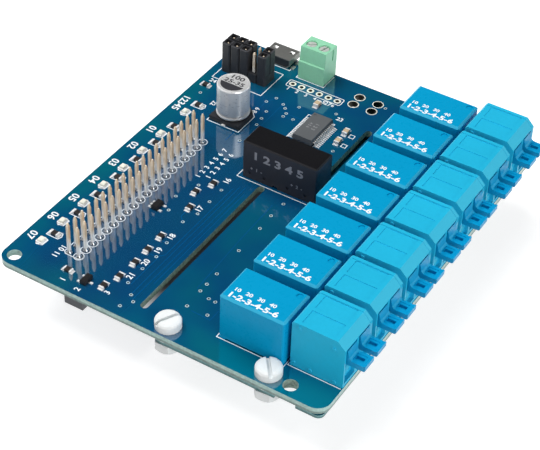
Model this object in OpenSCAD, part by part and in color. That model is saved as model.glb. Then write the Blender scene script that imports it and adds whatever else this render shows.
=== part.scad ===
// Relay module board: a logic half with a 2x20 stacking header and a relay half
// with seven relays and seven lever terminals, split by isolation slots.
// Underside of the main board is z = 0, the centre of its four corner holes is x = y = 0.

/* [Main board] */
// Length of the board along X
board_x = 82; // [74:0.5:90]
// Width of the board along Y
board_y = 99.5; // [89.5:0.5:112.5]
// Thickness of the board
board_t = 1.6; // [1:0.1:2.4]
// Radius of the board's corners
board_r = 3.2; // [1:0.1:4]
// Distance from the corner holes to the front and left edges
hole_inset = 2.9; // [2.6:0.05:3.2]
// Distance from the right-hand corner holes to the right edge
hole_right = 9.25; // [8:0.05:12]
// Diameter of the corner holes
hole_d = 3.3; // [2.6:0.1:3.4]
// Width of the isolation slots
slot_w = 1.8; // [1:0.1:2.2]

/* [Cover board] */
// Thickness of the insulating cover below the relays
cover_t = 0.8; // [0.6:0.1:1.6]
// Distance from the main board's edge to the cover's edge
cover_inset = 0.8; // [0.5:0.1:1.4]
// Gap between main board and cover, set by the washers
cover_gap = 1.0; // [0.9:0.1:2]

/* [Cover screws] */
// Diameter of the screw shanks
screw_d = 3; // [2.5:0.1:3.2]
// Diameter of the screw heads
screw_head_d = 5.8; // [5:0.1:6]
// Height of the screw heads
screw_head_h = 2.3; // [1.4:0.1:2.8]
// Width of the nuts across their flats
nut_af = 5.5; // [5:0.1:6]
// Thickness of the nuts
nut_h = 2.4; // [1.8:0.1:3]

/* [Stacking header] */
// Number of pins in one row
header_pins_n = 20; // [10:1:20]
// Height of the socket below the board
socket_h = 13; // [6:0.5:14]
// Width of the socket along X
socket_w = 5; // [4.6:0.1:5.4]
// Side of the square pins
pin_w = 0.64; // [0.5:0.02:0.66]
// Height of the pins above the board
pin_up = 8.3; // [4:0.1:12]

/* [Relays] */
// Distance between relays
relay_pitch = 12.7; // [12:0.1:12.7]
// Length of a relay along X
relay_x = 15.4; // [14:0.1:15.8]
// Width of a relay along Y
relay_y = 10.2; // [9:0.1:10.4]
// Height of a relay
relay_z = 11.8; // [10:0.1:16]
// Chamfer round the top of a relay
relay_bevel = 0.5; // [0.2:0.1:1]

/* [Lever terminals] */
// Depth of a terminal along X
term_x = 12.3; // [11.5:0.1:12.4]
// Length of a terminal along Y
term_y = 11; // [10:0.1:12]
// Height of a terminal
term_z = 12.2; // [11.2:0.1:14]
// Chamfer at the top of the wire side
term_chamfer = 1.8; // [1:0.1:1.9]
// Wall between the two lever bays
pole_wall = 0.8; // [0.7:0.05:1.2]
// Diameter of a wire entry
wire_d = 2.6; // [1.6:0.1:2.8]

/* [Release levers] */
// How far a lever stands out from the terminal
lever_out = 4.2; // [3:0.1:5]
// Thickness of the lever's ledge
lever_t = 1.3; // [1:0.1:1.5]
// Radius of a lever's hub
hub_r = 1.6; // [1.3:0.05:1.7]
// Radius of a lever's trunnions
trunnion_r = 0.6; // [0.4:0.05:0.7]

/* [DC converter] */
// Length of the converter along X
conv_x = 19.5; // [18:0.1:20]
// Thickness of the converter along Y
conv_y = 7; // [5.5:0.1:7.6]
// Height of the converter
conv_z = 10.2; // [8:0.1:12]

/* [Capacitor] */
// Diameter of the can
cap_d = 8; // [6:0.1:8.4]
// Height of the capacitor
cap_z = 10; // [6:0.1:12]

/* [Jumper block] */
// Number of jumper columns
jumper_n = 5; // [2:1:5]
// Height of the jumper block's plastic
jumper_base_h = 2.5; // [2:0.1:3]
// Height of a jumper cap
jumper_cap_h = 6; // [5:0.1:8]

/* [Supply terminal] */
// Distance between the two supply poles
supply_pitch = 3.5; // [3.3:0.1:4]
// Depth of the supply terminal along Y
supply_y = 6.2; // [6.1:0.1:6.8]
// Floor below a clamp
supply_floor = 0.9; // [0.6:0.1:1.5]
// How far a clamp rises when its screw is driven home
clamp_travel = 2; // [1:0.1:2.1]

/* [USB socket] */
// Width of the socket's shell
usb_w = 7.4; // [6.9:0.1:7.8]
// Depth of the shell
usb_l = 5; // [4.6:0.1:5.6]
// Height of the shell
usb_h = 2.6; // [2.4:0.1:3]

/* [Microcontroller] */
// Length of the microcontroller's body
mcu_l = 10.2; // [9.5:0.1:10.6]
// Width of the microcontroller's body
mcu_w = 5.3; // [4:0.1:5.6]
// Height of the microcontroller's top
mcu_h = 1.9; // [1.2:0.1:2.4]

/* [Hidden] */
$fn = 48;
eps = 0.01;
grid = 2.54;
run_gap = 0.3;
play = 0.05;
pin_play = 0.06;
hole_pitch_x = board_x - hole_inset - hole_right;
origin_x = hole_inset + hole_pitch_x / 2;
origin_y = board_y / 2;
top = board_t;
solder_drop = 0.7;

// Places on the board, measured from its front left corner. The relay half hangs on the
// right edge, the isolation slots, the converter and the cover on the relays.
term_at = [board_x - term_x - 0.1, 7.8];
relay_front = 6.5;
screw_inset = relay_front - 0.2 - screw_head_d / 2;
relay_behind = screw_inset + screw_head_d / 2 + run_gap;
relay_n = floor((board_y - relay_front - relay_y - relay_behind) / relay_pitch + 1.001);
relay_at = [term_at[0] - 1 - relay_x, relay_front];
slot_a = [relay_at[0] - 17.9, 5.6, 51.4];
slot_b = [relay_at[0] - 7.6, 63, board_y - 16.2];
cover_x = relay_at[0] - 12.6;
notch_r = 2.5;
screws_at = [[cover_x + 2.2, screw_inset, 62],
    [hole_inset + hole_pitch_x - 5.45, screw_inset, 128],
    [relay_at[0] + 12.3, board_y - screw_inset, 20]];
header_at = [12.22, 10.13];
header_end = [header_at[0] + grid, header_at[1] + (header_pins_n - 1) * grid + pin_w / 2];
led_at = [4.9, 9.7];
led_pitch = 7.62;
led_n = 8;
power_led_gap = 2.66;
conv_at = [relay_at[0] - 4.6 - conv_x, 53.3];
jumper_at = [3.87, board_y - 13.23];
jumper_front = jumper_at[1] - grid / 2;
cap_at = [15.25, (header_end[1] + jumper_front) / 2 - 0.955];
usb_at = [12.8, board_y + 0.4 - usb_l];
supply_at = [19.9, board_y + 0.1 - supply_y];
mcu_at = [slot_b[0] - 11.2, board_y - 23.4];
spare_at = [20.36, board_y - 9.3];
spare_n = 6;
probe_at = [for (x = [36.9, 42], y = [4.9, 8.2]) [x, board_y - y]];
// The small parts between the header and the first slot keep their share of that strip.
strip = (slot_a[0] - header_end[0]) / 20.54;
function in_strip(x, y) = [header_end[0] + x * strip, y];

// Screws and nuts of the cover.
stack_z = -board_t - cover_gap - cover_t;
screw_slot_w = 0.8;
screw_slot_h = 1.1;
thread_play = 0.05;
washer_d = 5.4;

// Relays: six pins in two rows, a moulded sleeve on four feet.
relay_foot = 0.3;
relay_pins_x = [2.6, relay_x - 5.2, relay_x - 2.6];
relay_row = 7.62;
relay_pin_w = 0.6;
relay_mark_d = 1.6;

// Lever terminals, measured from the left, front foot of each housing.
end_plate = 1;
pole_pitch = (term_y - end_plate) / 2;
pole_first = pole_pitch / 2 + 0.1;
lever_w = pole_pitch - pole_wall - 2 * run_gap;
poles = [pole_first, pole_first + pole_pitch];
hinge_in = 2.6;
hinge_z = term_z - 3.9;
bay_w = lever_w + 2 * run_gap;
bay_r = hub_r + run_gap;
bay_low = hinge_z - 2.9;
bay_top = hinge_z + bay_r;
mouth_depth = 0.9;
mouth_low = 0.9;
wire_z = bay_low - 0.9 - wire_d / 2;
wire_depth = 6.6;
funnel = 0.45;
web = 0.2;
socket_reach = (pole_wall - web) / 2;
seam = 0.12;
panel_depth = 0.15;
term_pin_w = 0.8;
term_pin_t = 0.5;
term_pin_x = [3.6, 8.7];

// Levers, measured from the hinge line.
lever_root = hub_r;
ledge_z = -0.7;
lever_under = ledge_z - lever_t;
root_x = hinge_in + 0.1;
knee_x = hinge_in + 0.45;
knee_r = 1;
lip = 0.15;
slot_from = hinge_in + 1.1;
slot_x = 1.9;
slot_y = 1;
slot_floor = 0.45;
tray_y = 2.2;
tray_depth = 0.12;

// Stacking header.
header_row = grid;
well_w = 0.8;
well_mouth = 1.4;
well_depth = socket_h - 4;

// Supply terminal, measured from its left, front foot.
supply_x = 2 * supply_pitch + 0.2;
supply_poles = [supply_x / 2 - supply_pitch / 2, supply_x / 2 + supply_pitch / 2];
supply_axis = 3;
cage_w = 2.4;
cage_l = 3;
cage_gap = 0.15;
cage_floor = 0.55;
cage_head = 0.9;
cage_wall = 0.4;
bar_t = 0.55;
bar_w = 1.3;
leg_w = 0.8;
leg_t = 0.5;
leg_y = 0.85;
shoulder_t = 0.5;
screw_r = 0.8;
head_r = 1.3;
head_h = 0.8;
cavity_z = supply_floor;
cage_z = cavity_z + cage_gap;
floor_top = cage_z + cage_floor;
bar_z = floor_top + clamp_travel + 0.1;
window_top = bar_z + bar_t + 0.1;
cage_top = window_top + cage_head;
cavity_top = cage_top + clamp_travel + 0.2;
head_low = cavity_top + shoulder_t + play;
head_top = head_low + head_h;
supply_z = head_top + 0.2;
dovetail = [0.6, 3.1, 0.45];
supply_step = window_top + 0.55;

// ---- helpers ----

// Puts a piece at a place on the board, heights counted from the board's top face.
module at(p, z = 0) translate([p[0] - origin_x, p[1] - origin_y, top + z]) children();

// Rectangle with rounded corners, its front left corner at zero.
module round_rect(x, y, r) {
    translate([r, 0]) square([x - 2 * r, y]);
    translate([0, r]) square([x, y - 2 * r]);
    for (px = [r, x - r], py = [r, y - r]) translate([px, py]) circle(r);
}

// Stadium along Y between two end centres.
module stadium(x, y0, y1, w) {
    translate([x - w / 2, y0]) square([w, y1 - y0]);
    for (y = [y0, y1]) translate([x, y]) circle(w / 2);
}

// Profile in X and Z drawn out along Y.
module along_y(length) translate([0, length, 0]) rotate([90, 0, 0])
    linear_extrude(length) children();

// Profile in Y and Z drawn out along X.
module along_x(length) rotate([90, 0, 90]) linear_extrude(length) children();

// Upright block with rounded vertical edges and a chamfer round its top.
module cased(x, y, z, r, bevel) intersection() {
    linear_extrude(z) round_rect(x, y, r);
    along_y(y) polygon([[0, 0], [x, 0], [x, z - bevel], [x - bevel, z], [bevel, z],
        [0, z - bevel]]);
    along_x(x) polygon([[0, 0], [y, 0], [y, z - bevel], [y - bevel, z], [bevel, z],
        [0, z - bevel]]);
}

// Square pin from z0 up to z1, tapered over the last part at each end that asks for it.
module square_pin(w, z0, z1, tip_up = 0, tip_down = 0) {
    d = w * sqrt(2);
    translate([0, 0, z0]) rotate(45) {
        if (tip_down > 0) cylinder(d1 = d * 0.45, d2 = d, h = tip_down, $fn = 4);
        translate([0, 0, tip_down])
            cylinder(d = d, h = z1 - z0 - tip_up - tip_down, $fn = 4);
        if (tip_up > 0) translate([0, 0, z1 - z0 - tip_up])
            cylinder(d1 = d, d2 = d * 0.45, h = tip_up, $fn = 4);
    }
}

// ---- boards ----

function relay_corner(k) = [relay_at[0], relay_at[1] + k * relay_pitch];
function term_corner(k) = [term_at[0], term_at[1] + k * relay_pitch];
corner_holes = [for (x = [0, 1], y = [0, 1]) [hole_inset + x * hole_pitch_x,
    y == 0 ? hole_inset : board_y - hole_inset]];
header_places = [for (i = [0:header_pins_n - 1], j = [0, 1])
    [header_at[0] + j * header_row, header_at[1] + i * grid]];
jumper_places = [for (i = [0:jumper_n - 1], j = [0, 1])
    [jumper_at[0] + i * grid, jumper_at[1] + j * grid]];
relay_pin_places = [for (k = [0:relay_n - 1], x = relay_pins_x, s = [-1, 1])
    relay_corner(k) + [x, relay_y / 2 + s * relay_row / 2]];
term_pin_places = [for (k = [0:relay_n - 1], y = poles, x = term_pin_x)
    term_corner(k) + [x, y]];
conv_pin_places = [for (i = [0, 1, 4, 6]) conv_at + [conv_x / 2 - 7.65 + i * grid,
    conv_y / 2]];
supply_leg_places = [for (x = supply_poles) supply_at + [x, leg_y + leg_t / 2]];

module drill(places, d) for (p = places) translate(p) circle(d / 2, $fn = 24);

module main_board() color([0, 0.33, 0.5]) at([0, 0], -board_t) linear_extrude(board_t)
    difference() {
        round_rect(board_x, board_y, board_r);
        stadium(slot_a[0], slot_a[1], slot_a[2], slot_w);
        stadium(slot_b[0], slot_b[1], slot_b[2], slot_w);
        drill(corner_holes, hole_d);
        drill([for (s = screws_at) [s[0], s[1]]], screw_d + 2 * thread_play);
        drill(header_places, pin_w * sqrt(2) + 2 * pin_play);
        drill(jumper_places, pin_w * sqrt(2) + 2 * pin_play);
        drill(relay_pin_places, relay_pin_w * sqrt(2) + 2 * pin_play);
        drill(term_pin_places, term_pin_w + 0.4);
        drill(conv_pin_places, pin_w + 0.4);
        drill(supply_leg_places, leg_w + 0.4);
        drill([for (i = [0:spare_n - 1]) spare_at + [i * grid, 0]], 1);
        drill(probe_at, 2.375);
    }

module cover_board() color([0.1, 0.4, 0.45]) at([0, 0], stack_z) linear_extrude(cover_t)
    difference() {
        translate([cover_x, cover_inset])
            round_rect(board_x - cover_inset - cover_x, board_y - 2 * cover_inset, 1.5);
        drill([for (s = screws_at) [s[0], s[1]]], screw_d + 2 * thread_play);
        for (p = corner_holes) if (p[0] > cover_x) {
            translate(p) circle(notch_r);
            translate([p[0] - notch_r, p[1] < board_y / 2 ? -1 : p[1]]) square([2 * notch_r,
                p[1] < board_y / 2 ? p[1] + 1 : board_y + 1 - p[1]]);
        }
    }

// ---- cover screws ----

module cover_screw() difference() {
    rotate_extrude() polygon([[0, stack_z - nut_h - 0.8], [screw_d / 2 - 0.3,
        stack_z - nut_h - 0.8], [screw_d / 2, stack_z - nut_h - 0.5], [screw_d / 2, 0],
        [screw_head_d / 2, 0], [screw_head_d / 2, screw_head_h - 0.7],
        [screw_head_d / 2 - 0.25, screw_head_h - 0.3],
        [screw_head_d / 2 - 0.8, screw_head_h], [0, screw_head_h]]);
    translate([-screw_head_d, -screw_slot_w / 2, screw_head_h - screw_slot_h])
        cube([2 * screw_head_d, screw_slot_w, screw_slot_h + 1]);
}
module cover_screws() color([0.93, 0.92, 0.88]) for (s = screws_at)
    at(s) rotate(s[2]) cover_screw();

module cover_nuts() color([0.93, 0.92, 0.88]) for (s = screws_at)
    at(s, stack_z - nut_h) rotate(s[2]) difference() {
        intersection() {
            cylinder(d = nut_af / cos(30), h = nut_h, $fn = 6);
            rotate_extrude() polygon([[0, 0], [nut_af / 2 + 0.05, 0],
                [nut_af / cos(30) / 2 + 0.1, 0.45], [nut_af / cos(30) / 2 + 0.1, nut_h],
                [0, nut_h]]);
        }
        translate([0, 0, -1]) cylinder(r = screw_d / 2 + thread_play, h = nut_h + 2);
    }

module cover_washers() color([0.9, 0.89, 0.85]) for (s = screws_at)
    at(s, -board_t - cover_gap) difference() {
        cylinder(d = washer_d, h = cover_gap);
        translate([0, 0, -1]) cylinder(r = screw_d / 2 + thread_play, h = cover_gap + 2);
    }

// ---- stacking header ----

module header_socket() color([0.1, 0.1, 0.1]) difference() {
    at(header_at + [(header_row - socket_w) / 2, -grid / 2], -board_t - socket_h)
        cube([socket_w, header_pins_n * grid, socket_h]);
    for (p = header_places) at(p, -board_t - socket_h) {
        translate([-well_w / 2, -well_w / 2, -1]) cube([well_w, well_w, well_depth + 1]);
        rotate(45) translate([0, 0, -eps]) cylinder(d1 = well_mouth * sqrt(2),
            d2 = well_w * sqrt(2), h = (well_mouth - well_w) / 2 + eps, $fn = 4);
    }
}

module header_pins() color([0.85, 0.78, 0.6]) for (p = header_places)
    at(p) square_pin(pin_w, -board_t, pin_up, tip_up = 0.9);

// ---- relays ----

module relay(k) color([0.05, 0.5, 0.8]) at(relay_corner(k)) difference() {
    cased(relay_x, relay_y, relay_z, 0.5, relay_bevel);
    translate([relay_x - 1.6, relay_y - 1.6, relay_z - 0.25])
        cylinder(d = relay_mark_d, h = 1);
    translate([1.6, -1, -1]) cube([relay_x - 3.2, relay_y + 2, 1 + relay_foot]);
    translate([-1, 1.6, -1]) cube([relay_x + 2, relay_y - 3.2, 1 + relay_foot]);
}

module relay_pins() color([0.8, 0.8, 0.78]) for (p = relay_pin_places)
    at(p) square_pin(relay_pin_w, -board_t - solder_drop,
        relay_foot, tip_down = 0.3);

// ---- lever terminals ----

module term_profile(s) polygon([[s, 0], [term_x - s, 0],
    [term_x - s, term_z - term_chamfer], [term_x - term_chamfer, term_z - s],
    [0.5 + s, term_z - s], [s, term_z - 0.5 - s]]);

module bay_profile() {
    translate([term_x - hinge_in, hinge_z]) circle(bay_r);
    polygon([[term_x - hinge_in, bay_low], [term_x - mouth_depth, bay_low],
        [term_x - mouth_depth, mouth_low], [term_x + 1, mouth_low],
        [term_x + 1, bay_top], [term_x - hinge_in, bay_top]]);
}

module terminal(k) color([0.1, 0.7, 0.85]) at(term_corner(k)) difference() {
    union() {
        along_y(term_y - end_plate) term_profile(0);
        translate([0, term_y - end_plate, 0]) along_y(seam) term_profile(seam);
        translate([0, term_y - end_plate + seam, 0])
            along_y(end_plate - seam) term_profile(0);
        for (b = [[1.8, 11.1], [9.8, 9.7], [0.8, 1.2], [4.7, 0.9], [10.3, 0.8]])
            translate([b[0], 0, b[1] * term_z / 12.2]) rotate([90, 0, 0])
                cylinder(d = 0.9, h = 0.25, $fn = 24);
    }
    for (y = poles) {
        translate([0, y - bay_w / 2, 0]) along_y(bay_w) bay_profile();
        translate([term_x - hinge_in, y - bay_w / 2 - socket_reach, hinge_z])
            rotate([-90, 0, 0]) cylinder(r = trunnion_r + play,
                h = bay_w + 2 * socket_reach);
        translate([term_x - mouth_depth - wire_depth, y, wire_z]) rotate([0, 90, 0])
            cylinder(d = wire_d, h = wire_depth + 1);
        translate([term_x - mouth_depth - funnel, y, wire_z]) rotate([0, 90, 0])
            cylinder(d1 = wire_d, d2 = wire_d + 2 * funnel, h = funnel + eps);
        translate([1.8, y - pole_pitch / 2 + 0.7, term_z - panel_depth])
            cube([term_x - 4.6, pole_pitch - 0.9, 1]);
    }
}

module terminal_pins() color([0.8, 0.8, 0.78]) for (p = term_pin_places)
    at(p) translate([-term_pin_t / 2, -term_pin_w / 2, -board_t - solder_drop])
        cube([term_pin_t, term_pin_w, board_t + solder_drop]);

// Lever seen from the side, its hinge line at zero and the free end along +X.
module lever_profile() {
    tip = hinge_in + lever_out;
    difference() {
        union() {
            circle(hub_r);
            polygon([[0, lever_root], [root_x, lever_root],
                [knee_x, ledge_z + knee_r], [knee_x, ledge_z],
                [0, -hub_r * 0.7]]);
            polygon([[0, 0], [0, -hub_r], [hinge_in - 0.6, lever_under],
                [tip - 0.3, lever_under], [tip, lever_under + 0.3], [tip, ledge_z + lip],
                [tip - 0.3, ledge_z + lip], [tip - 0.4, ledge_z],
                [knee_x + knee_r, ledge_z], [knee_x, ledge_z + knee_r], [0, 0.2]]);
        }
        translate([knee_x + knee_r, ledge_z + knee_r]) circle(knee_r);
    }
}

module lever(k, pole) color([0.15, 0.6, 0.75])
    at(term_corner(k) + [term_x - hinge_in, poles[pole]], hinge_z) {
        difference() {
            translate([0, -lever_w / 2, 0]) along_y(lever_w) lever_profile();
            translate([slot_from, -slot_y / 2, lever_under + slot_floor])
                cube([slot_x, slot_y, 5]);
            translate([slot_from - 0.2, -tray_y / 2, ledge_z - tray_depth])
                cube([hinge_in + lever_out - 0.75 - slot_from, tray_y, 5]);
        }
        for (s = [0, 180]) rotate(s) translate([0, lever_w / 2, 0]) rotate([-90, 0, 0])
            cylinder(r = trunnion_r, h = run_gap + socket_reach - play);
    }

// ---- converter ----

module converter_case() color([0.08, 0.08, 0.09]) at(conv_at) difference() {
    cased(conv_x, conv_y, conv_z, 0.4, 0.3);
    for (x = [-7.75, -3.85, 2.35, 7.05]) translate([conv_x / 2 + x, 0.2, 1.7])
        rotate([90, 0, 0]) cylinder(d = 0.8, h = 1, $fn = 24);
    translate([conv_x / 2 - 1.75, -1, -1]) cube([1.4, 2.2, 1.6]);
    translate([0.6, 0.8, -1]) cube([conv_x - 1.2, conv_y - 1.6, 1.4]);
}

module converter_pins() color([0.8, 0.8, 0.78]) for (p = conv_pin_places)
    at(p) translate([-0.25, -pin_w / 2, -board_t - solder_drop])
        cube([0.5, pin_w, board_t + solder_drop + 0.4]);

// ---- capacitor ----

cap_base_h = 1.2;
cap_base_w = cap_d + 0.3;
lead_w = 0.9;
lead_t = 0.2;

module capacitor_can() color([0.75, 0.76, 0.78]) at(cap_at, cap_base_h)
    rotate_extrude() difference() {
        polygon([[0, 0], [cap_d / 2 - 0.35, 0], [cap_d / 2, 0.35], [cap_d / 2, 0.9],
            [cap_d / 2 - 0.3, 1.15], [cap_d / 2 - 0.3, 1.35], [cap_d / 2, 1.6],
            [cap_d / 2, cap_z - cap_base_h - 0.4],
            [cap_d / 2 - 0.12, cap_z - cap_base_h - 0.12],
            [cap_d / 2 - 0.4, cap_z - cap_base_h],
            [cap_d / 2 - 0.7, cap_z - cap_base_h], [cap_d / 2 - 0.8,
            cap_z - cap_base_h - 0.12], [0, cap_z - cap_base_h - 0.12]]);
    }

module capacitor_base() color([0.08, 0.08, 0.08]) at(cap_at) difference() {
    linear_extrude(cap_base_h) polygon([[-cap_base_w / 2, -cap_base_w / 2],
        [cap_base_w / 2, -cap_base_w / 2], [cap_base_w / 2, cap_base_w / 2 - 1.8],
        [cap_base_w / 2 - 1.8, cap_base_w / 2], [1.8 - cap_base_w / 2, cap_base_w / 2],
        [-cap_base_w / 2, cap_base_w / 2 - 1.8]]);
    translate([-lead_w / 2 - play, -cap_base_w, -1])
        cube([lead_w + 2 * play, 2 * cap_base_w, 1 + lead_t]);
}

module capacitor_leads() color([0.8, 0.8, 0.78]) for (s = [0, 180]) at(cap_at) rotate(s)
    translate([-lead_w / 2, 1.2, 0]) cube([lead_w, cap_base_w / 2 - 0.6, lead_t]);

// ---- jumper block ----

jumper_set = [0, 1, 2, 4];
jumper_cap_x = grid - 0.14;
jumper_cap_y = 2 * grid - 0.08;
jumper_well = 1;
jumper_top = jumper_base_h + jumper_cap_h;
jumper_mouth = 1.5;
jumper_mouth_z = 1.3;
jumper_saddle = 0.5;

module jumper_block() color([0.07, 0.07, 0.07]) difference() {
    for (i = [0:jumper_n - 1]) at(jumper_at + [i * grid, grid / 2])
        linear_extrude(jumper_base_h) polygon([for (s = [[-1, -1], [1, -1], [1, 1], [-1, 1]],
            t = [0, 1]) let (chamfer = s[0] * s[1] > 0 ? t : 1 - t)
            [s[0] * (grid / 2 - (chamfer == 0 ? 0 : 0.4)),
             s[1] * (grid - (chamfer == 0 ? 0.4 : 0))]]);
    for (p = jumper_places) at(p, -1) translate([-pin_w / 2 - play, -pin_w / 2 - play, 0])
        cube([pin_w + 2 * play, pin_w + 2 * play, jumper_base_h + 2]);
}

module jumper_pins() color([0.85, 0.82, 0.7]) for (p = jumper_places)
    at(p) square_pin(pin_w, -board_t - solder_drop, jumper_top - 0.4,
        tip_up = 0.5, tip_down = 0.4);

module jumper_caps() color([0.06, 0.06, 0.06]) for (i = jumper_set)
    if (i < jumper_n) at(jumper_at + [i * grid, grid / 2], jumper_base_h) difference() {
        translate([-jumper_cap_x / 2, -jumper_cap_y / 2, 0])
            cased(jumper_cap_x, jumper_cap_y, jumper_cap_h, 0.45, 0.2);
        for (s = [-1, 1]) translate([0, s * grid / 2, 0]) {
            translate([-jumper_well / 2, -jumper_well / 2, -1])
                cube([jumper_well, jumper_well, jumper_cap_h + 2]);
            translate([-jumper_mouth / 2, -jumper_mouth / 2, jumper_cap_h - jumper_mouth_z])
                cube([jumper_mouth, jumper_mouth, 2]);
        }
        for (s = [-1, 1]) translate([s * jumper_cap_x / 2, 0, -1]) rotate(45)
            cylinder(d = 0.5, h = jumper_cap_h + 2, $fn = 4);
        translate([-jumper_cap_x, -jumper_saddle / 2, jumper_cap_h - 0.7])
            cube([2 * jumper_cap_x, jumper_saddle, 2]);
    }

// ---- USB socket ----

usb_t = 0.25;
usb_window = 1.3;

module usb_outline(s) polygon([[-usb_w / 2 + 0.9 + s, s], [usb_w / 2 - 0.9 - s, s],
    [usb_w / 2 - s, 0.9 + s * 0.4], [usb_w / 2 - s, usb_h - s],
    [-usb_w / 2 + s, usb_h - s], [-usb_w / 2 + s, 0.9 + s * 0.4]]);

module usb_shell() color([0.6, 0.6, 0.6]) at(usb_at) difference() {
    along_y(usb_l) difference() {
        usb_outline(0);
        usb_outline(usb_t);
    }
    for (x = [-2.4, 2.4]) translate([x - usb_window / 2, usb_l - 0.8 - usb_window, usb_h - 1])
        cube([usb_window, usb_window, 2]);
}

module usb_insert() color([0.1, 0.1, 0.1]) at(usb_at) {
    translate([0, 0.1, 0]) along_y(1.6) usb_outline(usb_t);
    translate([-1.9, 1.7, usb_h - 1.35]) cube([3.8, usb_l - 2.4, 0.6]);
}

// ---- supply terminal ----

module supply_housing() color([0.5, 0.75, 0.62]) at(supply_at) difference() {
    along_x(supply_x) polygon([[0, 0], [supply_y, 0], [supply_y, supply_z - 0.4],
        [supply_y - 0.4, supply_z], [0.75, supply_z], [0.35, supply_step + 0.2],
        [0, supply_step]]);
    for (x = supply_poles) {
        translate([x - cage_w / 2 - cage_gap, supply_axis - cage_l / 2 - cage_gap,
            cavity_z]) cube([cage_w + 2 * cage_gap, cage_l + 2 * cage_gap,
            cavity_top - cavity_z]);
        translate([x - bar_w / 2 - play, leg_y - play, bar_z - play]) cube([bar_w
            + 2 * play, supply_axis - leg_y, bar_t + 2 * play]);
        translate([x - leg_w / 2 - play, leg_y - play, -1])
            cube([leg_w + 2 * play, leg_t + 2 * play, bar_z + 1]);
        translate([x, supply_axis, 0]) {
            translate([0, 0, cavity_top - 1])
                cylinder(r = screw_r + play, h = shoulder_t + 2);
            translate([0, 0, head_low - play]) cylinder(r = head_r + 0.15, h = 4);
        }
        translate([x, supply_axis, (floor_top + bar_z) / 2]) rotate([-90, 0, 0])
            cylinder(d = clamp_travel, h = supply_y);
        translate([x, supply_y - 0.5, (floor_top + bar_z) / 2]) rotate([-90, 0, 0])
            cylinder(d1 = clamp_travel, d2 = clamp_travel + 0.9, h = 0.5 + eps);
    }
    translate([supply_x - dovetail[2], 3.9, supply_z - 0.5 - dovetail[1]])
        cube([1, dovetail[0], dovetail[1]]);
}

module supply_screw(i) color([0.75, 0.75, 0.76])
    at(supply_at + [supply_poles[i], supply_axis]) difference() {
        union() {
            translate([0, 0, window_top - 0.05])
                cylinder(r = screw_r, h = head_low - window_top + 0.05);
            translate([0, 0, head_low]) rotate_extrude() polygon([[0, 0], [head_r, 0],
                [head_r, head_h - 0.2], [head_r - 0.2, head_h], [0, head_h]]);
        }
        rotate(25 + 50 * i) translate([-2, -0.22, head_top - 0.45]) cube([4, 0.44, 1]);
    }

module supply_clamp(i) color([0.78, 0.78, 0.76])
    at(supply_at + [supply_poles[i], supply_axis], cage_z) difference() {
        translate([-cage_w / 2, -cage_l / 2, 0]) cube([cage_w, cage_l, cage_top - cage_z]);
        translate([cage_wall - cage_w / 2, -cage_l, cage_floor])
            cube([cage_w - 2 * cage_wall, 2 * cage_l, window_top - cage_z - cage_floor]);
        translate([0, 0, window_top - cage_z - 0.5])
            cylinder(r = screw_r + play, h = cage_head + 1);
    }

module supply_pins() color([0.8, 0.8, 0.78]) for (x = supply_poles)
    at(supply_at + [x, 0]) {
        translate([-bar_w / 2, leg_y, bar_z])
            cube([bar_w, supply_axis + cage_l / 2 - leg_y, bar_t]);
        translate([-leg_w / 2, leg_y, -board_t - solder_drop])
            cube([leg_w, leg_t, board_t + solder_drop + bar_z]);
    }

// ---- chips ----

mcu_lead_n = 14;
mcu_lead_pitch = 0.65;
mcu_lead_w = 0.28;
mcu_reach = 1.25;

module mcu_side(w) polygon([[-w / 2 + 0.15, 0.1], [w / 2 - 0.15, 0.1], [w / 2, mcu_h / 2
    - 0.1], [w / 2, mcu_h / 2 + 0.1], [w / 2 - 0.15, mcu_h], [-w / 2 + 0.15, mcu_h],
    [-w / 2, mcu_h / 2 + 0.1], [-w / 2, mcu_h / 2 - 0.1]]);

module microcontroller() color([0.1, 0.1, 0.11]) at(mcu_at) difference() {
    intersection() {
        translate([0, -mcu_l / 2, 0]) along_y(mcu_l) mcu_side(mcu_w);
        translate([-mcu_w / 2, 0, 0]) along_x(mcu_w) mcu_side(mcu_l);
    }
    translate([0.9 - mcu_w / 2, mcu_l / 2 - 1, mcu_h - 0.1]) cylinder(d = 0.8, h = 1,
        $fn = 24);
}

module microcontroller_leads() color([0.8, 0.8, 0.78])
    for (s = [0, 180], i = [0:mcu_lead_n - 1]) at(mcu_at) rotate(s)
        translate([mcu_w / 2, (i - (mcu_lead_n - 1) / 2) * mcu_lead_pitch
            - mcu_lead_w / 2, 0]) along_y(mcu_lead_w) polygon([[0, mcu_h / 2 + 0.08],
            [0.4, mcu_h / 2 + 0.08], [0.65, 0.17], [mcu_reach, 0.17], [mcu_reach, 0],
            [0.5, 0], [0.28, mcu_h / 2 - 0.08], [0, mcu_h / 2 - 0.08]]);

led_rows = [for (k = [0:led_n - 1]) led_at + [0, k * led_pitch + (k < 7 ? 0 : power_led_gap)]];

led_size = [1.4, 2.2, 0.35];
lens_size = [1.3, 1.5, 0.5];

module leds() color([0.95, 0.95, 0.9]) for (p = led_rows) at(p) {
    translate([-led_size[0] / 2, -led_size[1] / 2, 0]) cube(led_size);
    translate([-lens_size[0] / 2, -lens_size[1] / 2, led_size[2]])
        cased(lens_size[0], lens_size[1], lens_size[2], 0.1, 0.15);
}

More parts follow.
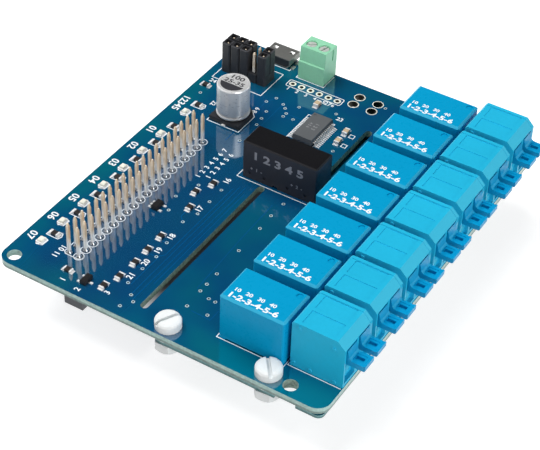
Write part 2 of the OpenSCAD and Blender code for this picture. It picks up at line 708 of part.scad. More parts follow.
// Chip parts: place, and 90 where they lie along X.
chip_size = [1.3, 2.1];
resistor_t = 0.6;
chip_cap_t = 0.9;
led_resistors = [for (k = [0:led_n - 1]) led_rows[k] + [1.1, k == 0 ? 3.4 : 4.1]];
strip_resistors = [in_strip(9.94, 5.6), in_strip(11.04, 9.8), in_strip(11.24, 15.2),
    in_strip(11.14, 20.1), in_strip(11.04, 25.3), in_strip(10.84, 36.9),
    in_strip(8.84, 42.25), in_strip(10.64, 46.85)];
lying_resistors = [in_strip(0.74, 5.35), [jumper_at[0] - 0.97, jumper_front - 7.3]];
chip_cap_at = [mcu_at + [6.7, 4.3], mcu_at + [6.85, 0.2], mcu_at + [-4.6, 10]];

// Chip with its two metal ends standing slightly proud.
module chip(h) difference() {
    translate([-chip_size[0] / 2, -chip_size[1] / 2, 0]) cube([chip_size[0], chip_size[1], h]);
    translate([-chip_size[0], -chip_size[1] * 0.31, h - 0.06])
        cube([2 * chip_size[0], chip_size[1] * 0.62, 1]);
}
module resistors() color([0.25, 0.25, 0.25]) {
    for (p = concat(led_resistors, lying_resistors)) at(p) rotate(90) chip(resistor_t);
    for (p = strip_resistors) at(p) chip(resistor_t);
}
module chip_capacitors() color([0.7, 0.6, 0.45]) for (p = chip_cap_at) at(p)
    chip(chip_cap_t);

small_leg_w = 0.4;
transistor_a = [1.4, 2.9];
transistor_b = [1.6, 2.9];
leg_offset = 0.95;
module small_body(size) translate([-size[0] / 2, -size[1] / 2, 0.1])
    cased(size[0], size[1], 1, 0.1, 0.15);
module small_leg(x, y, s) translate([x, y, 0]) scale([s, 1, 1])
    translate([0, -small_leg_w / 2, 0]) along_y(small_leg_w) polygon([[0, 0.5], [0.25, 0.5],
        [0.38, 0.12], [0.65, 0.12], [0.65, 0], [0.28, 0], [0.15, 0.38], [0, 0.38]]);
module small_transistors() color([0.12, 0.12, 0.12]) {
    at(in_strip(5.99, 4.8)) {
        small_body(transistor_a);
        for (s = [-1, 1]) small_leg(-transistor_a[0] / 2, s * leg_offset, -1);
        small_leg(transistor_a[0] / 2, 0, 1);
    }
    at(in_strip(4.54, 33.3)) {
        small_body(transistor_b);
        for (s = [-1, 0, 1]) small_leg(-transistor_b[0] / 2, s * leg_offset, -1);
        for (s = [-1, 1]) small_leg(transistor_b[0] / 2, s * leg_offset, 1);
    }
}

// ---- assembly ----

main_board();
cover_board();
cover_screws();
cover_nuts();
cover_washers();
header_socket();
header_pins();
relay_pins();
terminal_pins();
converter_case();
converter_pins();
capacitor_can();
capacitor_base();
capacitor_leads();
jumper_block();
jumper_pins();
jumper_caps();
usb_shell();
usb_insert();
supply_housing();
supply_screw(0);  // supply_screw_1
supply_screw(1);  // supply_screw_2
supply_clamp(0);  // supply_clamp_1
supply_clamp(1);  // supply_clamp_2
supply_pins();
microcontroller();
microcontroller_leads();
leds();
resistors();
chip_capacitors();
small_transistors();
for (i = [1:relay_n]) {
    relay(i - 1);
    terminal(i - 1);
    lever(i - 1, 0);
    lever(i - 1, 1);
}
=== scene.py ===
"""Relay module board: finishes, print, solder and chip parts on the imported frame."""
import math

import bpy
import numpy as np
from bpy.props import (FloatProperty, FloatVectorProperty, IntProperty, PointerProperty,
                       StringProperty)
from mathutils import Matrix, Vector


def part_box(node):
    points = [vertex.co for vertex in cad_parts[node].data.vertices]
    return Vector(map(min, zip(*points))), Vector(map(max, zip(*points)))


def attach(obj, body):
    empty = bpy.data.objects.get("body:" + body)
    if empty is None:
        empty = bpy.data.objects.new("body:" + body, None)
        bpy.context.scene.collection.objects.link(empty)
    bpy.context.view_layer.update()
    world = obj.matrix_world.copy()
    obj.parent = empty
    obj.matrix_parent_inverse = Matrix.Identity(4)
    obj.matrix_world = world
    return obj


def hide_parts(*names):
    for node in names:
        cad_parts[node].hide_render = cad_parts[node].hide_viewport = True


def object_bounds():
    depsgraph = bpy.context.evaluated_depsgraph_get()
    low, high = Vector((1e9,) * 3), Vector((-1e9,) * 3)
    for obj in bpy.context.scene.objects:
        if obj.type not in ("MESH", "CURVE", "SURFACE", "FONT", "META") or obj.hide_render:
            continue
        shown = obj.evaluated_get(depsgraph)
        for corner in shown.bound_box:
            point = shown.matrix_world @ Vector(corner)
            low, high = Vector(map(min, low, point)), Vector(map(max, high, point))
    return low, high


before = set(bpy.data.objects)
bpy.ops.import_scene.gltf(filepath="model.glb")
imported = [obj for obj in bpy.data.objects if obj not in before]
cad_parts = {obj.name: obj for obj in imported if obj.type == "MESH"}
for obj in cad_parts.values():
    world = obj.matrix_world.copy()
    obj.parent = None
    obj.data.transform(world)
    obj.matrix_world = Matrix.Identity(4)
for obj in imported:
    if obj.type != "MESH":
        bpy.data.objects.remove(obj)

bl_info = {
    "name": "Relay module board",
    "version": (1, 0, 0),
    "blender": (4, 5, 0),
    "location": "3D View > Sidebar > Relay board",
    "description": "Dresses the packed relay module board with its finishes and fine pieces",
    "category": "Object",
}

CAD_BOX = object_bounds()
FIXED = "board_assembly"
MM = 0.001
BOARD_LOW, BOARD_HIGH = (np.array(corner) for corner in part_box("main_board"))
# Front left corner of the board's top face: every place below is in millimetres from it.
BOARD_ZERO = np.array([BOARD_LOW[0], BOARD_LOW[1], BOARD_HIGH[2]])
BOARD_X, BOARD_Y, BOARD_T = (BOARD_HIGH - BOARD_LOW) / MM
NODES = sorted(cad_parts)
RELAYS = [n for n in NODES if n.startswith("relay_") and n[6:].isdigit()]
TERMINALS = [n for n in NODES if n.startswith("terminal_") and n[9:].isdigit()]
LEVERS = [n for n in NODES if n.startswith("lever_")]

# Rows of holes and pins: first place, and how many.
GRID = 2.54
HEADER = (12.22, 10.13, 20)
JUMPERS = (3.87, BOARD_Y - 13.23, 5)
SPARE_HOLES = (20.36, BOARD_Y - 9.3, 6)
PROBE_HOLES = [(x, BOARD_Y - y) for x in (36.9, 42.0) for y in (4.9, 8.2)]
# Pins measured from their case: X and half the rows' distance, X and Y, first X and grid steps.
RELAY_PINS = ((2.6, 10.2, 12.8), 3.81)
TERMINAL_PINS = ((3.6, 8.7), (2.85, 7.85))
CONVERTER_PINS = (2.1, (0, 1, 4, 6))
LEADS_PER_SIDE = 14
LED_PLACES = [(4.9, 9.7 + 7.62 * k) for k in range(7)] + [(4.9, 65.7)]
# Chip parts: place, and 90 where they lie along X. The first eight belong to the LEDs.
CHIP_RESISTORS = [(x + 1.1, y + (4.1 if k else 3.4), 90)
                  for k, (x, y) in enumerate(LED_PLACES)] + [
    (15.5, 5.35, 90), (24.7, 5.6, 0), (25.8, 9.8, 0), (26, 15.2, 0), (25.9, 20.1, 0),
    (25.8, 25.3, 0), (25.6, 36.9, 0), (23.6, 42.25, 0), (25.4, 46.85, 0), (2.9, 77.7, 90)]
CHIP_CAPACITORS = [(41.1, 80.4, 0), (41.25, 76.3, 0), (29.8, 86.1, 0)]
TRANSISTOR_FEET = [(20.75 + x, 4.8 + y) for x, y in ((-1.25, -0.95), (-1.25, 0.95), (1.25, 0))]
TRANSISTOR_FEET += [(19.3 + x, 33.3 + y) for x, y in (
    (-1.35, -0.95), (-1.35, 0), (-1.35, 0.95), (1.35, -0.95), (1.35, 0.95))]
VIAS = [(31.1, 2.6), (32.7, 5.1), (31.1, 6.6), (28.4, 9.3), (28.4, 14.6), (28.7, 19.4),
        (28, 24.4), (27, 32.1), (28.2, 36.2), (28.1, 41.2), (22.1, 33.7), (20.7, 38.6),
        (22.8, 44.7), (28.1, 46.1), (42.8, 10.35), (47.9, 10.4), (42.6, 15.7), (42.6, 18.2),
        (42.6, 22.1), (42.5, 31), (42.4, 39.8), (42.2, 44.8), (42.4, 49.8), (45.4, 14.7),
        (47.1, 14.6), (20.1, 82.9), (18.8, 80.4), (22.8, 81.7), (24, 80.6), (25.3, 79),
        (25.3, 77.6), (20.9, 77), (21.4, 74), (21.7, 71.3), (27.9, 77.9), (26.6, 82.9),
        (35.4, 85.6), (44.2, 94.3), (3.5, 74.4), (21.7, 63.8), (42, 72.7)]
TRACKS = [[(41.6, 16), (40.8, 34.2), (40.5, 48.2)], [(44.3, 9.7), (49.2, 9.4), (49.2, 12.7)],
          [(29.2, 9.3), (29.2, 20), (30, 21), (30, 48)], [(31, 7), (31, 49.5)],
          [(32.2, 5.6), (32.2, 50)], [(33.2, 12), (33.2, 48)],
          [(20.1, 82.9), (18.8, 80.4), (18.8, 62)], [(22.8, 81.7), (22.8, 64), (21.7, 62.9)],
          [(25.3, 77.6), (30.2, 77.6)], [(25.3, 79), (30.2, 79)],
          [(27, 32.1), (25.6, 33.5), (25.6, 35.8)], [(28.4, 14.6), (26.9, 14.6)],
          [(28.7, 19.4), (27.2, 19.4)], [(28, 24.4), (26.8, 24.4)],
          [(38.5, 78.2), (40.2, 79.6)], [(38.5, 74.8), (40.3, 75.6)]]

# White print: rectangles round nodes, by their margins left, in front, right and behind.
PRINT_GAP = 0.3
FRAMES = [(relay, PRINT_GAP, PRINT_GAP, PRINT_GAP, PRINT_GAP) for relay in RELAYS] + [
    ("converter_case", 0.9, 0.8, 0.7, 0.7), ("jumper_block", 0.35, 3.4, 1.1, 2.1),
    ("microcontroller", 1.7, 0.5, 0.2, 0.5)]
HEADER_RING_R, SPARE_MARGIN, MARK_HALF = 1.05, 1.35, 0.6
CAPACITOR_MARKS = [(43, 79.9), (43.2, 75.8)]
LED_MARK = [(-1.1, -0.6), (-0.4, -1.45), (1.1, -1.0), (1.25, 1.0), (0.1, 1.45), (-1.05, 1.1)]
RESISTOR_MARK = [(-1.55, -1.0), (1.5, -1.0), (1.9, 0), (1.5, 1.0), (-1.55, 1.0)]
# Printed figures: text, height, place and angle.
FIGURES = [("%02d" % (7 - k), 1.95, 1.95, y + 0.5, -90)
           for k, (x, y) in enumerate(LED_PLACES[:7])] + [
    ("10 11", 1.4, 10.2, 9.2, -90), ("12345", 1.9, 1.95, 68.2, -90),
    ("1  2  3  4  5  6  7", 1.35, 20.8, 53.2, 90), ("1  2  3  4  5  6", 1.35, 23.0, 53.3, 90),
    ("1", 1.4, 16.2, 2.5, -90), ("2", 1.4, 20.6, 1.7, 90), ("3", 1.4, 26.5, 4.4, 90),
    ("21", 1.5, 27.6, 11.2, 90), ("20", 1.5, 27.8, 16.6, 90), ("19", 1.5, 27.9, 21.4, 90),
    ("18", 1.5, 27.7, 26.7, 90), ("17", 1.5, 27.6, 38.0, 90), ("16", 1.5, 27.4, 49.7, 90),
    ("27", 1.4, 31.7, 88.0, 0), ("8 9", 1.3, 18.6, 76.0, 90), ("24", 1.3, 3.4, 80.3, 0),
    ("22", 1.3, 8.6, 72.6, -90), ("23", 1.3, 37.2, 84.2, 0)] + [
    (str(k + 1), 1.1, SPARE_HOLES[0] + GRID * k, SPARE_HOLES[1] - 2.2, 0) for k in range(6)] + [
    (str(k), 1.1, JUMPERS[0] + GRID * k, JUMPERS[1] + GRID + 2.0, 0) for k in range(5)]

# Thicknesses and radii of the fine pieces, in millimetres.
PRINT_ON_CASE, PRINT_ON_CHIP, PRINT_ON_CAN = 0.03, 0.01, 0.02
TRACK_T, RIM_T = 0.015, 0.04
CHIP_T, CHIP_CAPACITOR_T = 0.6, 0.9
# Solder joints above and below the board: radius at the pin, and height.
JOINT_ABOVE, JOINT_BELOW = (0.4, 0.62), (0.42, 0.6)
ARC_STEPS, SCREW_STEPS, CAN_STEPS = 3, 48, 64

# Stage, in metres and radians.
FLOOR_HALF = 3
CAMERA_PLACE = (0.144087, -0.244827, 0.240434)
CAMERA_TURN = (0.854289, -0.031554, 0.555424)
SENSOR = 36
KEY_PLACE, KEY_AIM, KEY_SIZE = (-0.26, 0.02, 0.6), (0, 0, 0), 0.55
SIDE_PLACE, SIDE_AIM, SIDE_SIZE = (0.55, -0.25, 0.22), (0.02, 0, 0), 0.45

# Materials: the part of its range that a noise fills, depth of the grain in metres.
NOISE_RANGE = (0.3, 0.7)
GRAIN_DEPTH = 0.00002
# Share of teal near the front edge, beyond the first slot, at the back, and everywhere.
FRONT_TEAL, BEYOND_TEAL, BACK_TEAL, ANY_TEAL = 0.75, 0.35, 0.5, 0.22
BLACK, WHITE = (0, 0, 0, 1), (1, 1, 1, 1)


# ---- sizes and colours

def length(name, description, default, low, high):
    """A length, given here in millimetres."""
    return FloatProperty(name=name, description=description, default=default * MM, min=low * MM,
                         max=high * MM, unit="LENGTH", precision=5)


def swatch(name, description, *rgb):
    """A colour, written as it is seen on a screen, from 0 to 255."""
    return FloatVectorProperty(name=name, description=description, subtype="COLOR_GAMMA", size=3,
                               min=0, max=1, default=tuple(v / 255 for v in rgb))


class BoardPrintSizes(bpy.types.PropertyGroup):
    line_width: length("Print line", "Width of the board's printed lines", 0.2, 0.05, 0.5)
    print_height: length("Print height", "Thickness of the white print on the board",
                         0.03, 0.01, 0.1)
    track_width: length("Track", "Width of the copper tracks that show through the mask",
                        0.22, 0.1, 1)
    via_radius: length("Via radius", "Outer radius of the small plated holes", 0.42, 0.2, 0.8)
    solder_radius: length("Solder foot", "Radius of a solder joint on the board",
                          0.78, 0.4, 1.1)
    steps: IntProperty(name="Steps", description="Steps round each small ring and solder joint",
                       default=20, min=8, max=48)


class BoardColours(bpy.types.PropertyGroup):
    mask: swatch("Mask", "Solder mask of the main board", 0, 72, 117)
    teal: swatch("Thin mask", "Greener mask where no copper lies below", 0, 98, 118)
    laminate: swatch("Laminate", "Cut outer edge of the main board", 172, 202, 196)
    cover_edge: swatch("Cover edge", "Cut edge of the cover board", 126, 176, 178)
    # Painted shade: a darker laminate colour for the walls of holes and slots.
    core: swatch("Core", "Walls of the holes and slots", 146, 168, 156)
    cover: swatch("Cover", "Mask of the cover board", 0, 90, 104)
    ink: swatch("Ink", "White print", 238, 242, 244)
    relay: swatch("Relay", "Relay sleeves", 5, 145, 191)
    terminal: swatch("Terminal", "Lever terminal housings", 34, 171, 208)
    lever: swatch("Lever", "Release levers", 2, 146, 198)
    green: swatch("Supply terminal", "Supply terminal housing", 138, 201, 166)
    nylon: swatch("Nylon", "Cover screws, nuts and washers", 228, 231, 231)
    black: swatch("Black plastic", "Jumpers, USB insert and capacitor base", 47, 48, 52)
    socket: swatch("Socket", "Stacking socket under the board", 98, 100, 104)
    gold: swatch("Pins", "Gold plating of the pins", 255, 238, 214)
    tin: swatch("Tin", "Tin plating lower on the pins", 255, 255, 254)


class StageSettings(bpy.types.PropertyGroup):
    lens: FloatProperty(name="Lens", description="Focal length of the camera",
                        default=109.164, min=20, max=300, unit="CAMERA")
    key_power: FloatProperty(name="Key", description="Power of the large light above",
                             default=5.6, min=0, max=10, unit="POWER", precision=3)
    side_power: FloatProperty(name="Side", description="Power of the light beside the terminals",
                              default=2.5, min=0, max=10, unit="POWER", precision=3)
    sky: FloatProperty(name="Sky", description="Strength of the even light all round",
                       default=0.9, min=0, max=2)


# ---- shapes, as (points, faces)

def joined(shapes):
    """Several shapes as one: the point arrays end to end, each face moved on by the points
    before it."""
    points, faces, start = [], [], 0
    for p, f in shapes:
        points.append(p)
        faces += [tuple(i + start for i in face) for face in f]
        start += len(p)
    return np.concatenate(points), faces


def grid_faces(rows, columns, wrap_rows=False):
    """Quads of a grid of rows by columns points, each row a ring."""
    i, j = np.meshgrid(np.arange(rows if wrap_rows else rows - 1), np.arange(columns),
                       indexing="ij")
    i, j = i.ravel(), j.ravel()
    i2, j2 = (i + 1) % rows, (j + 1) % columns
    quads = np.stack([i * columns + j, i * columns + j2, i2 * columns + j2, i2 * columns + j], 1)
    return [tuple(q) for q in quads.tolist()]


def stacked(rings):
    """Closed shape from equal rings, bottom first, each turning to the left seen from above:
    quads between the rings and one flat face at each end."""
    rings = np.asarray(rings, float)
    rows, columns = rings.shape[:2]
    faces = grid_faces(rows, columns)
    faces.append(tuple(range(columns))[::-1])
    faces.append(tuple(range((rows - 1) * columns, rows * columns)))
    return rings.reshape(-1, 3), faces


def level(outline, z):
    """Points of an outline in X and Y, all at one height."""
    return np.column_stack([outline, np.full(len(outline), z)])


def slab(outline, z0, z1):
    """Flat outline in X and Y, turning to the left, drawn up from z0 to z1."""
    return stacked([level(outline, z) for z in (z0, z1)])


def line(path, width, z0, z1, closed=False):
    """Line of even width along a path: each point moves out to both sides along the mitre of
    its two neighbours, by half the width over the cosine of half the turn."""
    p = np.asarray(path, float)
    before, after = np.roll(p, 1, 0), np.roll(p, -1, 0)
    if not closed:
        before[0], after[-1] = 2 * p[0] - p[1], 2 * p[-1] - p[-2]
    a, b = p - before, after - p
    a /= np.linalg.norm(a, axis=1)[:, None]
    b /= np.linalg.norm(b, axis=1)[:, None]
    side = np.column_stack([-(a + b)[:, 1], (a + b)[:, 0]])
    side /= np.linalg.norm(side, axis=1)[:, None]
    cos = np.clip(side[:, 0] * -a[:, 1] + side[:, 1] * a[:, 0], 0.35, 1)
    off = side * (width / 2 / cos)[:, None]
    section = np.stack([level(p + s * off, z)
                        for s, z in ((1, z0), (-1, z0), (-1, z1), (1, z1))], 1)
    faces = [f[::-1] for f in grid_faces(len(p), 4, wrap_rows=closed)]
    if not closed:
        n = 4 * len(p)
        faces += [(0, 3, 2, 1), (n - 4, n - 3, n - 2, n - 1)]
    return section.reshape(-1, 3), faces


def corners(x0, y0, x1, y1):
    """The four corners of a rectangle, turning to the left."""
    return [(x0, y0), (x1, y0), (x1, y1), (x0, y1)]


def rounded(x0, y0, x1, y1, r):
    """Rectangle whose corners are arcs of radius r, turning to the left."""
    t = np.linspace(0, np.pi / 2, ARC_STEPS + 1)
    arcs = [(x1 - r, y1 - r, 0), (x0 + r, y1 - r, 1), (x0 + r, y0 + r, 2), (x1 - r, y0 + r, 3)]
    return np.concatenate([np.column_stack([cx + r * np.cos(t + q * np.pi / 2),
                                            cy + r * np.sin(t + q * np.pi / 2)])
                           for cx, cy, q in arcs])


def turned(profile, n, closed=False):
    """Profile of radius and height turned round the Z axis: x = r cos t, y = r sin t. A closed
    profile makes a ring, an open one a solid with a flat face at each end."""
    profile = np.asarray(profile, float)
    t = np.linspace(0, 2 * np.pi, n, endpoint=False)
    rings = np.stack([profile[:, :1] * np.cos(t), profile[:, :1] * np.sin(t),
                      np.repeat(profile[:, 1:], n, 1)], 2)
    if not closed:
        return stacked(rings)
    return rings.reshape(-1, 3), grid_faces(len(profile), n, wrap_rows=True)


def ring(r_in, r_out, z0, z1, n):
    """Flat washer round the Z axis: a rectangle of radius and height turned round it."""
    return turned(corners(r_in, z0, r_out, z1), n, closed=True)


def pillow(x, y, r, profile):
    """Rounded block, x and y out from the Z axis: the rounded rectangle moved in by each
    profile step's inset, at its height, so that the profile rounds or chamfers the block."""
    return stacked([level(rounded(inset - x, inset - y, x - inset, y - inset,
                                  max(r - inset, 0.02)), z) for inset, z in profile])


def moved(shape, x=0.0, y=0.0, z=0.0, angle=0.0):
    """A shape turned about Z by angle in degrees, then moved."""
    points, faces = shape
    c, s = math.cos(math.radians(angle)), math.sin(math.radians(angle))
    return points @ np.array([[c, s, 0], [-s, c, 0], [0, 0, 1]]) + (x, y, z), faces


def pair(shape):
    """A shape and its copy turned half round the Z axis."""
    return joined([shape, moved(shape, angle=180)])


def copies(shape, places):
    """One shape at many places, each with its angle if it has one."""
    return joined([moved(shape, p[0], p[1], 0, p[2] if len(p) > 2 else 0) for p in places])


def row(x, y, n):
    """Places of a row of holes along X."""
    return [(x + GRID * k, y) for k in range(n)]


def added(name, data):
    """A new object, linked into the scene."""
    item = bpy.data.objects.new(name, data)
    bpy.context.scene.collection.objects.link(item)
    return item


def lettering(body, height, z0, z1, x=0.0, y=0.0, angle=0.0, wide=1.0, heavy=0.018):
    """Figures as a mesh, centred on a point, their height as given, lying from z0 to z1."""
    curve = bpy.data.curves.new("figures", "FONT")
    curve.offset = heavy
    curve.body, curve.align_x, curve.align_y = body, "CENTER", "CENTER"
    curve.size, curve.extrude, curve.resolution_u = 1.0, 0.5, 3
    holder = added("figures", curve)
    solid = holder.evaluated_get(bpy.context.evaluated_depsgraph_get()).to_mesh()
    points = np.empty(3 * len(solid.vertices), np.float32)
    solid.vertices.foreach_get("co", points)
    points = points.reshape(-1, 3).astype(float)
    faces = [tuple(p.vertices) for p in solid.polygons]
    bpy.data.objects.remove(holder)
    bpy.data.curves.remove(curve)
    low, high = points.min(0), points.max(0)
    points -= (low + high) / 2
    tall = height / (high[1] - low[1])
    points *= (tall * wide, tall, 1)
    points[:, 2] = np.where(points[:, 2] > 0, z1, z0)
    return moved((points, faces), x, y, 0, angle)


def put(name, slot, *parts, body=FIXED, smooth=False):
    """Makes one piece from (material, shape) pairs in board millimetres. The piece's place is
    in its mesh."""
    points, faces = joined([shape for material, shape in parts])
    mesh = bpy.data.meshes.new(name)
    mesh.from_pydata((BOARD_ZERO + points * MM).tolist(), [], faces)
    for material, shape in parts:
        mesh.materials.append(material)
    mesh.polygons.foreach_set("material_index", np.repeat(
        np.arange(len(parts), dtype=np.int32), [len(shape[1]) for material, shape in parts]))
    mesh.polygons.foreach_set("use_smooth", np.full(len(faces), smooth))
    mesh.validate()
    mesh.update()
    piece = added(name, mesh)
    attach(piece, body)
    return piece


def node_box(node):
    """Lowest and highest corner of a CAD node in board millimetres."""
    low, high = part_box(node)
    return (np.array(low) - BOARD_ZERO) / MM, (np.array(high) - BOARD_ZERO) / MM


def middle(node):
    """Middle and lowest and highest corner of a CAD node in board millimetres."""
    low, high = node_box(node)
    return (low + high) / 2, low, high


# ---- materials

def linear(colour, shade=1.0):
    """Screen colour, from 0 to 1, as linear light times a shade."""
    return tuple(shade * (v / 12.92 if v <= 0.04045 else ((v + 0.055) / 1.055) ** 2.4)
                 for v in colour) + (1.0,)


class Nodes:
    """Short hand for building the nodes of a material or world. Every value is a number, a
    colour or the socket that feeds it."""

    def __init__(self, owner):
        owner.use_nodes = True
        self.owner, self.tree = owner, owner.node_tree
        self.tree.nodes.clear()
        self.place = self.add("ShaderNodeTexCoord").outputs

    def add(self, kind, inputs=None, **settings):
        node = self.tree.nodes.new(kind)
        for key, value in settings.items():
            setattr(node, key, value)
        for key, value in (inputs or {}).items():
            if isinstance(value, bpy.types.NodeSocket):
                self.tree.links.new(value, node.inputs[key])
            else:
                node.inputs[key].default_value = value
        return node

    def noise(self, scale, detail=3.0, stretch=(1, 1, 1)):
        """Noise on Object coordinates, with scale per metre and a stretch along each axis."""
        mapping = self.add("ShaderNodeMapping", {"Vector": self.place["Object"],
                                                 "Scale": stretch})
        return self.add("ShaderNodeTexNoise", {"Vector": mapping.outputs[0], "Scale": scale,
                                               "Detail": detail}).outputs["Fac"]

    def ramp(self, source, *stops):
        """Colour ramp over a value: stops are (position, linear colour)."""
        node = self.add("ShaderNodeValToRGB", {"Fac": source})
        while len(node.color_ramp.elements) < len(stops):
            node.color_ramp.elements.new(0.5)
        for element, (position, colour) in zip(node.color_ramp.elements, stops):
            element.position, element.color = position, colour
        return node.outputs["Color"]

    def grey(self, source, low, high, start=0.0, end=1.0, **settings):
        """Value carried from the range start to end into the range low to high."""
        return self.add("ShaderNodeMapRange", {
            "Value": source, "From Min": start, "From Max": end, "To Min": low,
            "To Max": high}, **settings).outputs["Result"]

    def mix(self, factor, a, b, blend="MIX"):
        """Colour a where the factor is 0, and b, or the blend of both, where it is 1."""
        return self.add("ShaderNodeMix", {0: factor, 6: a, 7: b}, data_type="RGBA",
                        blend_type=blend).outputs[2]

    def maths(self, operation, *values):
        """One operation carried through all the values."""
        total = values[0]
        for value in values[1:]:
            total = self.add("ShaderNodeMath", {0: total, 1: value},
                             operation=operation).outputs[0]
        return total

    def times(self, *values):
        """Product of all the values."""
        return self.maths("MULTIPLY", *values)

    def along(self, axis, place="Object"):
        """Place along one axis, in metres on Object coordinates."""
        return self.add("ShaderNodeSeparateXYZ", {0: self.place[place]}).outputs[axis]

    def across(self, axis, start, end):
        """Smooth step from 0 to 1 along one axis between two places in metres."""
        return self.grey(self.along(axis), 0, 1, start, end, interpolation_type="SMOOTHSTEP")

    def facing(self, axis):
        """How far a face looks along an axis, either way, from 0 to 1."""
        return self.maths("ABSOLUTE", self.along(axis, "Normal"), 0)

    def rays(self, *kinds):
        """1 for any of these kinds of ray, else 0."""
        path = self.add("ShaderNodeLightPath").outputs
        return self.maths("MINIMUM", self.maths("ADD", *[path[kind] for kind in kinds]), 1)

    def surface(self, inputs, height, strength, depth):
        """Ends a material: the shader's inputs, and a bump from a height."""
        bump = self.add("ShaderNodeBump", {"Height": height, "Strength": strength,
                                           "Distance": depth})
        shader = self.add("ShaderNodeBsdfPrincipled", {**inputs, "Normal": bump.outputs[0]})
        self.add("ShaderNodeOutputMaterial", {"Surface": shader.outputs[0]})
        return self.owner


def finish(name, colour, spread=0.1, rough=(0.5, 0.65), scale=1400, bump=0.2, metal=0.0,
           coat=0.0, stretch=(1, 1, 1), edge=0.0, gloss=0.5, walls=1.0):
    """Moulded, painted or metal finish: two noises, a broad cloud for the colour and a fine
    grain for gloss and bump. Chamfers, whose normals stand between level and upright, are
    lighter by the edge share: a painted highlight, where the chamfers would catch the light.
    Upright faces carry the colour times walls: painted light, the sides made brighter or
    darker than the tops."""
    made = Nodes(bpy.data.materials.new(name))
    broad, fine = made.noise(60, 2), made.noise(scale, 4, stretch)
    blend = made.maths("ADD", made.grey(broad, 0, 0.6, *NOISE_RANGE),
                       made.grey(fine, 0, 0.4, *NOISE_RANGE))

    def tint(shade):
        return made.ramp(blend, (0.1, linear(colour, shade * (1 - spread))),
                         (0.9, linear(colour, shade * (1 + spread))))

    steep, tone = made.facing("Z"), tint(1)
    # Painted light: upright faces take the colour times walls, lighter or darker than level faces
    # as lamps would make them.
    if walls != 1:
        tone = made.mix(steep, tint(walls), tone)
    # Painted highlight: chamfers are lighter by the edge share.
    if edge:
        rim = made.ramp(steep, (0.15, BLACK), (0.35, WHITE), (0.85, WHITE), (0.97, BLACK))
        tone = made.mix(rim, tone, linear([v + (1 - v) * edge for v in colour]))
    return made.surface({
        "Base Color": tone, "Roughness": made.grey(fine, *rough, *NOISE_RANGE),
        "Metallic": metal, "Specular IOR Level": gloss, "Coat Weight": coat,
        "Coat Roughness": 0.07}, fine, bump, GRAIN_DEPTH)


def board_finish(name, node, mask, teal, laminate, core):
    """Solder mask, deep blue over copper and teal in patches, beyond the first slot and near
    the rim; pale laminate with a darker lower ply on the outer edge, and a darker laminate
    colour on the walls of holes and slots, painted shade of those narrow recesses. Zones are
    in metres from the board's edges."""
    made = Nodes(bpy.data.materials.new(name))
    low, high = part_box(node)
    patches, grain = made.noise(55, 2), made.noise(1500, 3)
    front = made.times(made.across("Y", low[1] + 0.012, low[1] + 0.002), FRONT_TEAL)
    beyond = made.times(made.across("X", high[0] - 0.052, high[0] - 0.046), BEYOND_TEAL)
    back = made.times(made.across("Y", high[1] - 0.04, high[1] - 0.004), BACK_TEAL)
    left = made.across("X", low[0] + 0.009, low[0] + 0.001)
    zone = made.times(made.maths("MAXIMUM", left, front, beyond),
                      made.across("Y", high[1] - 0.005, high[1] - 0.03))
    zone = made.maths("MAXIMUM", zone, back)
    share = made.times(made.maths("ADD", zone, ANY_TEAL), made.grey(patches, 0, 1.1, 0.35, 0.65))
    tone = made.mix(share, linear(mask), linear(teal))

    def ply(colour, dark, pale):
        return made.ramp(grain, (0.35, linear(colour, dark)), (0.65, linear(colour, pale)))

    # Inside the outline by a millimetre, an upright face is the wall of a hole or slot.
    shaded_wall_mask = made.times(*[
        made.across(axis, edge + way * 0.0009, edge + way * 0.0011) for axis, edge, way in (
            ("X", low[0], 1), ("X", high[0], -1), ("Y", low[1], 1), ("Y", high[1], -1))])
    pale = ply(laminate, 0.85, 1.1)
    rim = made.mix(made.across("Z", low[2] + 0.0004, low[2] + 0.0008),
                   ply(laminate, 0.4, 0.6), pale)
    # The corner holes' walls keep the pale laminate, without the slots' painted shade.
    corner = made.maths("MAXIMUM", made.across("X", low[0] + 0.009, low[0] + 0.007),
                        made.across("X", high[0] - 0.009, high[0] - 0.007))
    # Painted shade: the walls of holes and slots take the darker colour.
    wall = made.mix(shaded_wall_mask, rim, made.mix(corner, ply(core, 0.7, 1.2), pale))
    flat = made.grey(made.facing("Z"), 0, 1, 0.4, 0.6)
    # The smoothest coat lies over the copper round the header.
    smooth = made.times(made.across("X", low[0] + 0.004, low[0] + 0.01),
                        made.across("X", low[0] + 0.036, low[0] + 0.026),
                        made.across("Y", low[1] + 0.074, low[1] + 0.06))
    return made.surface({
        "Base Color": made.mix(flat, wall, tone),
        "Roughness": made.grey(grain, 0.1, 0.2, *NOISE_RANGE),
        "Coat Weight": flat, "Coat IOR": made.grey(smooth, 2.2, 3.1), "Coat Roughness": 0.04,
        "Specular IOR Level": 0.2}, grain, 0.03, GRAIN_DEPTH / 2)


